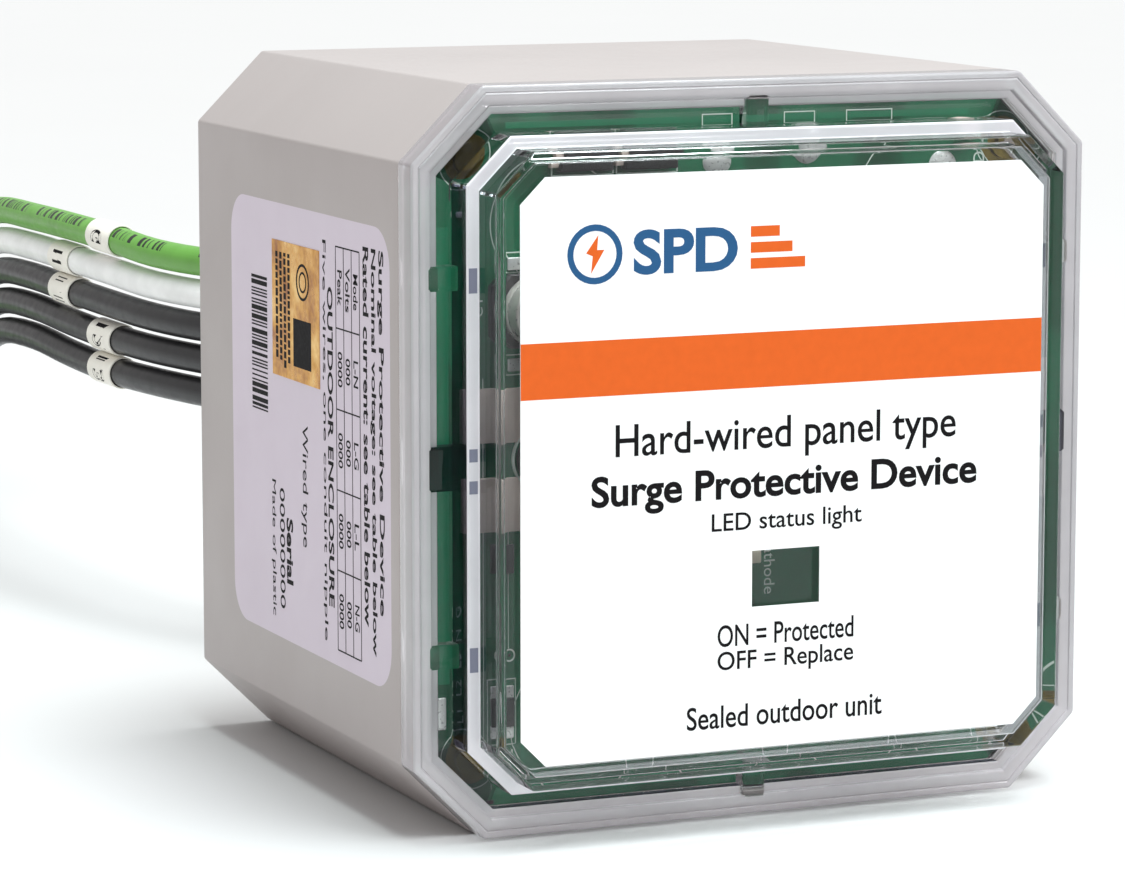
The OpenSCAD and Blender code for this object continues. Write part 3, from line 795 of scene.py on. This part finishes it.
def zone_of(p):
    """Which of the cover's looks a face centred at p has."""
    depth = (JOINT_Y - p.y) / MM
    x, z = abs(p.x) / MM, abs(p.z - MID_Z) / MM
    diagonal = (HALF_W + HALF_H - CHAMFER - x - z) / math.sqrt(2)
    inset = min(HALF_W - x, HALF_H - z, diagonal)
    level = HALF_H - z < min(HALF_W - x, diagonal)
    # Painted shadow on the middle blocks
    if z < MIDDLE_BLOCK / 2 + 0.1 and 3.4 < inset < 8.6 and 1.9 < depth < 6.4:
        return "painted_shadow"
    if inset < 0.15 and depth < 5.8:
        return "flange"
    if inset < 3.5 and depth > 5.4 or 3.3 < inset < 4.8 and 4.9 < depth < 5.4:
        return "lip"
    # Painted shadow along the inner edge of the bead, top and bottom
    if level and 4.8 < inset < 5.0 and 3.4 < depth < 5.0:
        return "painted_shadow"
    # Painted shade in the diagonal corners of the channel
    if inset == diagonal and 5.2 < inset < 8.0 and depth < 3.4:
        return "shade"
    # Painted highlight on the tread of the lower step
    if 8.0 < inset < 10.4 and 9.9 < depth < 10.6:
        return "tread"
    # Outer wall of the upper step: clear at top and bottom, painted shade at the sides and corners
    if 10.2 < inset < 10.4 and 10.7 < depth < 17.6:
        return "cover" if level else "shade"
    return "cover"


def paint_zones(cover):
    """Hazy faces of the cover, and faces with painted highlight, painted shadow and painted shade."""
    for key in COVER_ZONES[1:]:
        cover.data.materials.append(MAT[key])
    for face in cover.data.polygons:
        face.material_index = COVER_ZONES.index(zone_of(face.center))




def make_cover():
    """Clear cover: lip, bead, channel, two steps and the front panel, hollow behind."""
    back = -0.05
    outside = [(14.0, -COVER_D, 0), (10.3, -COVER_D, 0.5), (10.3, -10.4, 0.25), (8.2, -10.4, 0.45),
               (8.2, -3.2, 0.3), (4.9, -3.2, 0.3), (4.9, -5.2, 0.45), (3.4, -5.2, 0.2), (3.4, -6.3, 0.45),
               (1.5, -6.3, 0.05), (1.3, -6.05, 0.05), (1.1, -6.3, 0.05),
               (0.0, -6.3, 0.6), (0.0, back, 0.2), (3.6, back, 0.2), (3.6, -1.2, 0.3), (10.2, -1.2, 0.3),
               (10.2, -8.4, 0.4), (12.3, -8.4, 0.3), (12.3, -16.0, 0.4), (15.0, -16.0, 0)]
    points = rounded(outside)
    cover = piece("cover_shell", loft([box_outline(p.x, p.y, 1.2) for p in points]), MAT["cover"],
                  replaces=("clear_cover",))
    bars = bmesh.new()
    reach = (1.7, 9.2)
    for side in (-1, 1):
        lo, hi = sorted((side * (HALF_W - reach[0]), side * (HALF_W - reach[1])))
        for z, width in ((-32, SIDE_BLOCK), (0, MIDDLE_BLOCK), (32, SIDE_BLOCK)):
            block(bars, (lo, -6.3, z - width / 2), (hi, -2.0, z + width / 2), 0.5, 3)
        lo, hi = sorted((side * (HALF_H - reach[0]), side * (HALF_H - reach[1])))
        block(bars, (-SIDE_BLOCK / 2, -6.3, lo), (SIDE_BLOCK / 2, -2.0, hi), 0.5, 3)
    boolean(cover, bars, "UNION")
    paint_zones(cover)
    make_block_shadows()


def make_block_shadows():
    """Painted shadow: grey patches where each block meets the lower step, left and right."""
    bm = bmesh.new()
    for side in (-1, 1):
        lo, hi = sorted((side * (HALF_W - 8.5), side * (HALF_W - 10.0)))
        for z0, z1 in ((29.9, 34.1), (-34.1, -29.9), (1.6, 3.8), (-3.8, -1.6)):
            block(bm, (lo, -10.46, z0), (hi, -10.39, z1), 0.02, 1)
    piece("block_shadow_patches", bm, MAT["block_shadow"])


# --- printed labels ---

FRONT_Y = depth_of(LABEL_LO)
SIDE_X = -HALF_W


def on_front(x, z):
    """Placer for print on the front label, with u to the right and v up."""
    return lambda u, v, w: at(x + u, FRONT_Y - 0.01 - w, z + v)


def on_side(y, z, lift=0.0):
    """Placer for print on the rating label, read from its top edge down."""
    return lambda u, v, w: at(SIDE_X - 0.01 - lift - w, y - v, z - u)


def front_words(name, words, x0, x1, z0, z1, bold=0.0, ink="black"):
    bm = bmesh.new()
    print_text(bm, words, x1 - x0, z1 - z0, on_front((x0 + x1) / 2, (z0 + z1) / 2), bold)
    return piece(name, bm, MAT[ink])


def make_front_print():
    half = (LABEL_HI.x - LABEL_LO.x) / 2 / MM
    bm = bmesh.new()
    print_bar(bm, -half + 0.02, 12.6, half - 0.02, 22.0, on_front(0, 0))
    piece("orange_band", bm, MAT["orange"])
    for name, words, x0, x1, z0, z1, bold in (
            ("title_line", "Hard-wired panel type", -31.8, 32.4, 0.4, 7.6, 0.006),
            ("device_line", "Surge Protective Device", -36.2, 36.6, -7.8, -0.9, 0.024),
            ("status_line", "LED status light", -14.0, 14.4, -12.6, -8.6, 0.006),
            ("on_line", "ON = Protected", -12.8, 13.0, -31.6, -27.8, 0.008),
            ("off_line", "OFF = Replace", -12.8, 13.0, -36.6, -32.4, 0.008),
            ("seal_line", "Sealed outdoor unit", -18.5, 18.6, -45.6, -41.6, 0.008)):
        front_words(name, words, x0, x1, z0, z1, bold)
    make_mark()


def make_mark():
    """A made-up sign: a ring round a zigzag, and the plain letters SPD."""
    cx, cz = -35.6, 36.4
    bm = bmesh.new()
    flat_ring(bm, circle(5.0), circle(3.9), on_front(cx, cz), INK)
    piece("mark_ring", bm, MAT["blue"])
    bm = bmesh.new()
    bolt = [(-1.6, 0.2), (0.6, 3.2), (0.4, 0.7), (1.7, 0.7), (-0.7, -3.2), (-0.4, -0.3)]
    print_shape(bm, bolt, on_front(cx, cz))
    bmesh.ops.recalc_face_normals(bm, faces=bm.faces)
    piece("mark_bolt", bm, MAT["orange"])
    front_words("mark_letters", "SPD", -28.6, -9.4, 32.6, 40.2, bold=0.03, ink="blue")
    bm = bmesh.new()
    for n, v in enumerate((32.8, 35.5, 38.2)):
        print_bar(bm, -7.0, v, 3.2 - 2.4 * n, v + 1.8, on_front(0, 0))
    piece("mark_bars", bm, MAT["orange"])


def side_words(bm, words, y, z_top, z_bottom, height, bold=0.0):
    """A line of print whose middle is at depth y, from z_top down to z_bottom."""
    print_text(bm, words, z_top - z_bottom, height, on_side(y, (z_top + z_bottom) / 2), bold)


def make_rating_print():
    """Generic rating plate: heading lines, a small empty table, a plain bar pattern and a foil."""
    bm = bmesh.new()
    for line in (("Surge Protective Device", 8.4, 35.6, -27.0, 3.0, 0.02),
                 ("Nominal voltage: see table below", 12.0, 35.6, -34.6, 2.8, 0.02),
                 ("Rated current: see table below", 15.4, 35.6, -30.0, 2.7, 0.02),
                 ("OUTDOOR ENCLOSURE", 33.0, 27.0, -29.5, 2.7, 0.02),
                 ("Five wires, one conduit nipple", 36.0, 35.0, -36.0, 2.2, 0.0),
                 ("Wired type", 46.5, 1.0, -21.0, 3.6, 0.0), ("Serial", 54.5, -17.0, -29.0, 3.4, 0.03),
                 ("00000000", 58.4, -12.0, -34.0, 2.6, 0.0),
                 ("Made of plastic", 63.0, -11.0, -36.0, 2.6, 0.0)):
        side_words(bm, *line)
    rows = (("Mode", "L-N", "L-G", "L-L", "N-G"), ("Volts", "000", "000", "000", "000"),
            ("Peak", "0000", "0000", "0000", "0000"))
    top, bottom, front, back = 34.4, -36.6, 18.4, 30.0
    step_z, step_y = (top - bottom) / 5, (back - front) / 3
    for r, cells in enumerate(rows):
        for c, cell in enumerate(cells):
            z = top - (c + 0.5) * step_z
            width = 1.55 * len(cell)
            side_words(bm, cell, front + (r + 0.5) * step_y, z + width / 2, z - width / 2, 2.2, 0.01)
    line = 0.25
    for r in range(4):
        y = front + r * step_y
        print_bar(bm, -top, -line / 2, -bottom, line / 2, on_side(y, 0))
    for c in range(6):
        z = top - c * step_z
        print_bar(bm, -z - line / 2, -back, -z + line / 2, -front, on_side(0, 0))
    rng = random.Random(7)
    z = 25.4
    while z > 1.0:
        width = rng.choice((0.28, 0.28, 0.56, 0.84))
        print_bar(bm, -z, -74.0, -z + width, -65.6, on_side(0, 0))
        z -= width + rng.choice((0.3, 0.3, 0.6))
    piece("rating_print", bm, MAT["black"])
    make_foil_print()


def make_foil_print():
    """Ring sign, square and rows of strokes on the foil, from its top front corner."""
    bm = bmesh.new()
    place = on_side(depth_of(FOIL_LO), (FOIL_HI.z - MID_Z) / MM, FOIL_T)
    print_bar(bm, 13.2, -13.3, 21.8, -4.2, place)
    for outer, inner in ((3.3, 2.8), (1.9, 1.5)):
        flat_ring(bm, circle(outer, 6.4, -8.4), circle(inner, 6.4, -8.4), place, INK)
    rng = random.Random(3)
    for row in range(4):
        u, v = 2.0, -15.6 - 2.1 * row
        while u < 21.5:
            width = rng.uniform(0.5, 1.5)
            print_bar(bm, u, v - 0.55, u + width, v + 0.55, place)
            u += width + 0.35
    bmesh.ops.recalc_face_normals(bm, faces=bm.faces)
    piece("foil_print", bm, MAT["black"])


# --- board ---

BOARD_Y = depth_of(BOARD_LO)
PAD_X, PAD_Z = 51.0, 51.4


def on_board(x, z, quarter_turns=0):
    """Placer for print on the board's front; quarter turns go clockwise."""
    c, s = ((1, 0), (0, -1), (-1, 0), (0, 1))[quarter_turns % 4]
    return lambda u, v, w: at(x + c * u - s * v, BOARD_Y - 0.01 - w, z + s * u + c * v)


def print_ring(bm, cx, cz, r, line, lift=INK):
    flat_ring(bm, circle(r, cx, cz, 64), circle(r - line, cx, cz, 64), on_board(0, 0), lift)


def print_frame(bm, x0, z0, x1, z1, line, lift=INK):
    """Printed outline of a rectangle."""
    place = on_board(0, 0)
    for box in ((x0, z0, x1, z0 + line), (x0, z1 - line, x1, z1),
                (x0, z0, x0 + line, z1), (x1 - line, z0, x1, z1)):
        print_bar(bm, *box, place, lift)


def make_board_print():
    """White print on the board: outlines of parts, part numbers and the lamp's own word."""
    bm = bmesh.new()
    for x in (-29.9, -17.9):
        print_frame(bm, x - 5.8, 48.0, x + 5.8, 54.6, 0.25)
    for x0, x1 in ((-7.6, -1.8), (8.0, 14.0), (20.0, 29.0)):
        print_frame(bm, x0, 55.2, x1, 57.8, 0.2)
    for z in (34.0, 16.6):
        print_frame(bm, -44.6, z - 2.2, -40.6, z + 1.4, 0.2)
    print_ring(bm, -37.5, 0.0, 5.7, 0.25, 0.9)
    for x in (-32, -6, 20, 40):
        print_ring(bm, x, -46.5, 11.6, 0.2)
    print_ring(bm, -34.5, 40.0, 11.0, 0.2)
    print_ring(bm, 36.0, 42.0, 13.5, 0.2)
    for sx, sz in CORNERS:
        print_ring(bm, sx * PAD_X, sz * PAD_Z, 5.4, 0.2)
    print_ring(bm, -43.7, -33.8, 1.15, 0.3)
    print_frame(bm, -46.2, -49.4, -42.4, -37.8, 0.2)
    print_bar(bm, -43.95, -32.6, -43.8, -9.0, on_board(0, 0))
    print_bar(bm, -46.9, -57.0, -46.75, 14.0, on_board(0, 0))
    for words, width, height, x, z, turns in (
            ("R2", 3.0, 1.9, -44.6, -51.4, 2), ("D19", 5.2, 2.2, 46.2, 50.5, 3),
            ("C4", 3.0, 1.6, -47.6, 26.0, 3),
            ("L1  L2  L3  N  G", 20.0, 1.3, -50.8, -35.0, 3), ("J1", 2.6, 1.6, -22.0, -56.6, 0),
            ("J2", 2.6, 1.6, 14.0, -56.6, 0), ("Cathode", 10.6, 2.1, 5.8, -21.3, 1)):
        print_text(bm, words, width, height, on_board(x, z, turns))
    piece("board_print", bm, MAT["silk"])


def make_tracks():
    """Copper tracks that show as paler green lines under the solder mask."""
    bm = bmesh.new()
    place = on_board(0, 0)
    for x, z0, z1, width in ((-48.6, -48, -14, 1.6), (-55.6, -38, 40, 2.4), (-41.2, -57, -36, 0.8),
                             (48.8, -46, 44, 1.4), (55.8, -40, 40, 2.2)):
        print_bar(bm, x - width / 2, z0, x + width / 2, z1, place, 0.012)
    for z, x0, x1, width in ((56.8, -44, 44, 1.2), (46.8, -30, 40, 0.8), (-55.4, -42, 44, 1.8),
                             (-58.2, -30, 36, 0.9)):
        print_bar(bm, x0, z - width / 2, x1, z + width / 2, place, 0.012)
    piece("board_tracks", bm, MAT["track"])


def make_board_parts():
    """Small parts on the board's front: plated corners, solder pads, can capacitor, terminals."""
    gold, tin, dark, dull = bmesh.new(), bmesh.new(), bmesh.new(), bmesh.new()
    for sx, sz in CORNERS:
        add_mesh(gold, lathe([(0.05, BOARD_Y - 0.01), (0.05, BOARD_Y - 0.06), (4.2, BOARD_Y - 0.06),
                              (4.35, BOARD_Y - 0.01)], (sx * PAD_X, sz * PAD_Z)))
    piece("corner_pads", gold, MAT["gold"])
    for x, z in ((-4.7, 49.8), (39.0, 47.7), (12.5, 51.5)):
        drop = [(0.05, 0), (0.05, -0.5), (1.6, -0.42), (2.5, -0.2), (2.7, 0)]
        add_mesh(tin, lathe([(r, BOARD_Y + rise) for r, rise in drop], (x, z)))
    for x, z, w, h in ((-42.6, 33.4, 2.8, 2.2), (-42.6, 16.2, 2.8, 2.2), (-44.3, -40.2, 2.7, 2.4),
                       (-44.3, -47.0, 2.7, 2.4), (-56.1, -43.0, 1.7, 5.6), (-51.0, 42.0, 1.4, 1.0)):
        block(tin, (x - w / 2, BOARD_Y - 0.5, z - h / 2), (x + w / 2, BOARD_Y, z + h / 2), 0.22, 3)
    piece("solder_pads", tin, MAT["solder"])
    # Painted shade: thin black sheets stand for the dark inside two notches and a via hole in the board
    for x0, z0, x1, z1 in ((-54.2, 44.4, -53.0, 48.0), (-48.2, -59.8, -46.4, -59.0),
                           (-43.95, -34.05, -43.45, -33.55)):
        block(dark, (x0, BOARD_Y - 0.06, z0), (x1, BOARD_Y, z1), 0.02, 1)
    piece("board_hole_shade", dark, MAT["chip"])
    for x in (-36.3, -24.3):
        block(dull, (x, BOARD_Y - 1.5, 49.7), (x + 1.5, BOARD_Y, 52.9), 0.2)
    add_mesh(dull, lathe(rounded([(0.05, -2.2, 0), (1.9, -2.2, 0.4), (1.9, BOARD_Y, 0)]), (42.0, 53.6)))
    piece("terminals", dull, MAT["bar"])
    make_capacitor()


def make_capacitor():
    """Surface-mount can: dark base with cut corners, rolled waist, black half-moon on top."""
    lo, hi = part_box("filter_capacitor")
    cx, cz = (lo.x + hi.x) / 2 / MM, ((lo.z + hi.z) / 2 - MID_Z) / MM
    top = depth_of(lo)
    foot = [[at(cx + p.x, y, cz + p.y) for p in octagon(half, half, 2.0, 0.4)]
            for y, half in ((BOARD_Y, 6.3), (-0.5, 6.3), (-0.7, 6.1))]
    piece("capacitor_base", loft(foot), MAT["chip"])
    profile = rounded([(0.05, top, 0), (5.9, top, 0.6), (5.9, -3.0, 0.3), (5.45, -2.5, 0.3), (5.9, -1.9, 0.3),
                       (5.9, -0.6, 0.2), (0.05, -0.6, 0)])
    piece("capacitor_can", lathe(profile, (cx, cz)), MAT["can"],
          replaces=("filter_capacitor",))
    bm = bmesh.new()
    arc = [(5.0 * math.cos(a), 5.0 * math.sin(a)) for a in (math.radians(-115 + 6 * k) for k in range(26))]
    print_shape(bm, arc, lambda u, v, w: at(cx + u, top - w, cz + v), 0.005, 0.03)
    bmesh.ops.recalc_face_normals(bm, faces=bm.faces)
    piece("capacitor_mark", bm, MAT["chip"])


# --- nipple and rings ---

THREAD_PITCH = 25.4 / 14
THREAD_DEPTH = 0.95


def make_nipple():
    """Conduit nipple: hexagon head inside the box, a real helical thread, rounded mouth."""
    r = (NIPPLE_HI.x - NIPPLE_LO.x) / 2 / MM
    head_y, end_y = depth_of(NIPPLE_LO), depth_of(NIPPLE_HI)
    major, bore, neck_y, sides = 13.3, 10.45, head_y + 4.0, 72
    angles = [2 * math.pi * k / sides for k in range(sides)]

    def ring(y, radius_at):
        return [at(radius_at(a) * math.cos(a), y, radius_at(a) * math.sin(a)) for a in angles]

    def hexagon(y, less):
        flat = r * math.cos(math.pi / 6) - less
        return ring(y, lambda a: flat / math.cos(a % (math.pi / 3) - math.pi / 6))

    def thread(y):
        mouth = max(0.0, y - (end_y - 1.3)) * 0.8

        def radius_at(a):
            phase = (y / THREAD_PITCH - a / (2 * math.pi)) % 1.0
            depth = min(1.0, max(0.0, abs(2 * phase - 1) * 1.25 - 0.12)) * THREAD_DEPTH
            return min(major - depth, major - mouth)
        return ring(y, radius_at)

    rings = [hexagon(y, less) for y, less in ((head_y, 1.0), (head_y + 0.7, 0.1),
                                              (neck_y - 0.3, 0.1), (neck_y, 0.4))]
    step = THREAD_PITCH / 8
    rings += [thread(neck_y + n * step) for n in range(int((end_y - neck_y) / step) + 1)]
    rings += [ring(y, lambda a, radius=radius: radius) for y, radius in (
        (end_y, 12.1), (end_y, bore + 0.5), (end_y - 0.5, bore), (head_y + 0.5, bore), (head_y, bore + 0.5))]
    piece("nipple_piece", loft(rings, closed=True), MAT["zinc"], replaces=("conduit_nipple",))
    resin = rounded([(0.05, neck_y, 0), (bore - 0.02, neck_y, 0.1), (bore - 0.02, end_y - 1.0, 0.1),
                     (bore - 0.7, end_y - 0.2, 0.5), (bore - 2.0, end_y, 0.8), (0.05, end_y, 0)])
    piece("potting_piece", lathe(resin, (0, 0), 64), MAT["potting"], replaces=("lead_seal",))


def make_rings():
    rounded_copy("sealing_ring", MAT["rubber"], 0.5, 3)
    rounded_copy("steel_washer", MAT["zinc"], 0.2, 2, "washer")
    rounded_copy("locknut", MAT["zinc"], 0.35, 2, "nut")


# --- stage and light ---


def add_light(name, kind, direction, power, colour):
    data = bpy.data.lights.new(name, kind)
    data.energy = power
    data.color = colour
    light = add_object(name, data)
    light.rotation_mode = "QUATERNION"
    light.rotation_quaternion = direction.to_track_quat("-Z", "Y")
    return light


def area_light(name, place, target, size, power, colour=(1, 1, 1)):
    light = add_light(name, "AREA", Vector(target) - Vector(place), power, colour)
    light.location = place
    light.data.shape = "RECTANGLE"
    light.data.size, light.data.size_y = size


def make_stage():
    bm = bmesh.new()
    bmesh.ops.create_grid(bm, x_segments=1, y_segments=1, size=15)
    bmesh.ops.translate(bm, vec=(0, 0, -0.0005), verts=bm.verts)
    mesh = bpy.data.meshes.new("floor")
    bm.to_mesh(mesh)
    bm.free()
    floor = add_object("floor", mesh)
    floor.data.materials.append(surface("floor_paper", (0.62, 0.62, 0.62, 1), 0.8, drift=0.003, patch=3))
    world = bpy.data.worlds.new("studio")
    bpy.context.scene.world = world
    world.use_nodes = True
    sky = world.node_tree.nodes["Background"]
    sky.inputs["Color"].default_value = (1, 0.985, 0.98, 1)
    sky.inputs["Strength"].default_value = 0.62
    sun = add_light("sun", "SUN", Vector((-0.15, 0.12, -1)), 3.0, (0.97, 1.0, 1.0))
    sun.data.angle = 0.6
    area_light("key", (0.9, -1.5, 0.9), (0, 0, 0.06), (0.9, 0.9), 3)
    area_light("top", (0.05, -0.25, 0.75), (0, 0, 0.12), (0.5, 0.5), 3.2, (0.78, 0.97, 1.0))
    bpy.context.scene.view_settings.view_transform = "Standard"


def dress_nodes():
    """Materials for the CAD nodes that keep their own shape."""
    looks = {
        "label": ("front_label",), "rating": ("rating_label",), "foil": ("foil_seal",),
        "board": ("main_board",),
        "gold": ("board_screws",), "chip": ("spark_disc",), "wire": ("inner_leads",), "seal": ("cover_seal",),
        "disc": [f"varistor_disc_{n}" for n in range(1, 5)],
    }
    for key, nodes in looks.items():
        for node in nodes:
            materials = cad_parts[node].data.materials
            materials.clear()
            materials.append(MAT[key])


def make_springs():
    """Shield springs: each CAD spring's own shape with its seams merged and its placement baked in; it rides
    on no body.
    """
    for n in range(1, 5):
        node = f"shield_spring_{n}"
        bm = bmesh.new()
        bm.from_mesh(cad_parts[node].data)
        bmesh.ops.remove_doubles(bm, verts=bm.verts, dist=0.001 * MM)
        spring = piece(node + "_piece", bm, MAT["spring"], body=None, replaces=(node,),
                       sharp=60)
        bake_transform(spring)


def make_rounded_nodes():
    """Moulded and stamped parts that only need their edges eased."""
    for node, look, width, segments, slot in (
            ("status_led", "led", 0.2, 3, "label_film"), ("bus_bars", "bar", 0.12, 2, "tinned_copper"),
            ("rectifier_packages", "chip", 0.3, 2, "black_plastic"),
            ("chip_resistors", "chip", 0.12, 2, "black_plastic"),
            ("lead_lugs", "solder", 0.2, 2, "tinned_copper"),
            ("contact_arms", "copper", 0.12, 2, "tinned_copper"),
            ("return_straps", "copper", 0.12, 2, "tinned_copper")):
        rounded_copy(node, MAT[look], width, segments)
    for n in range(1, 5):
        rounded_copy(f"varistor_housing_{n}", MAT["module"], 0.4, 3)
        rounded_copy(f"arc_shield_{n}", MAT["shield"], 0.2, 2, f"shield_{n}")


dress_nodes()
make_box()
make_cover()
make_rounded_nodes()
make_springs()
make_tracks()
make_board_print()
make_board_parts()
make_nipple()
make_rings()
make_front_print()
make_rating_print()
make_stage()
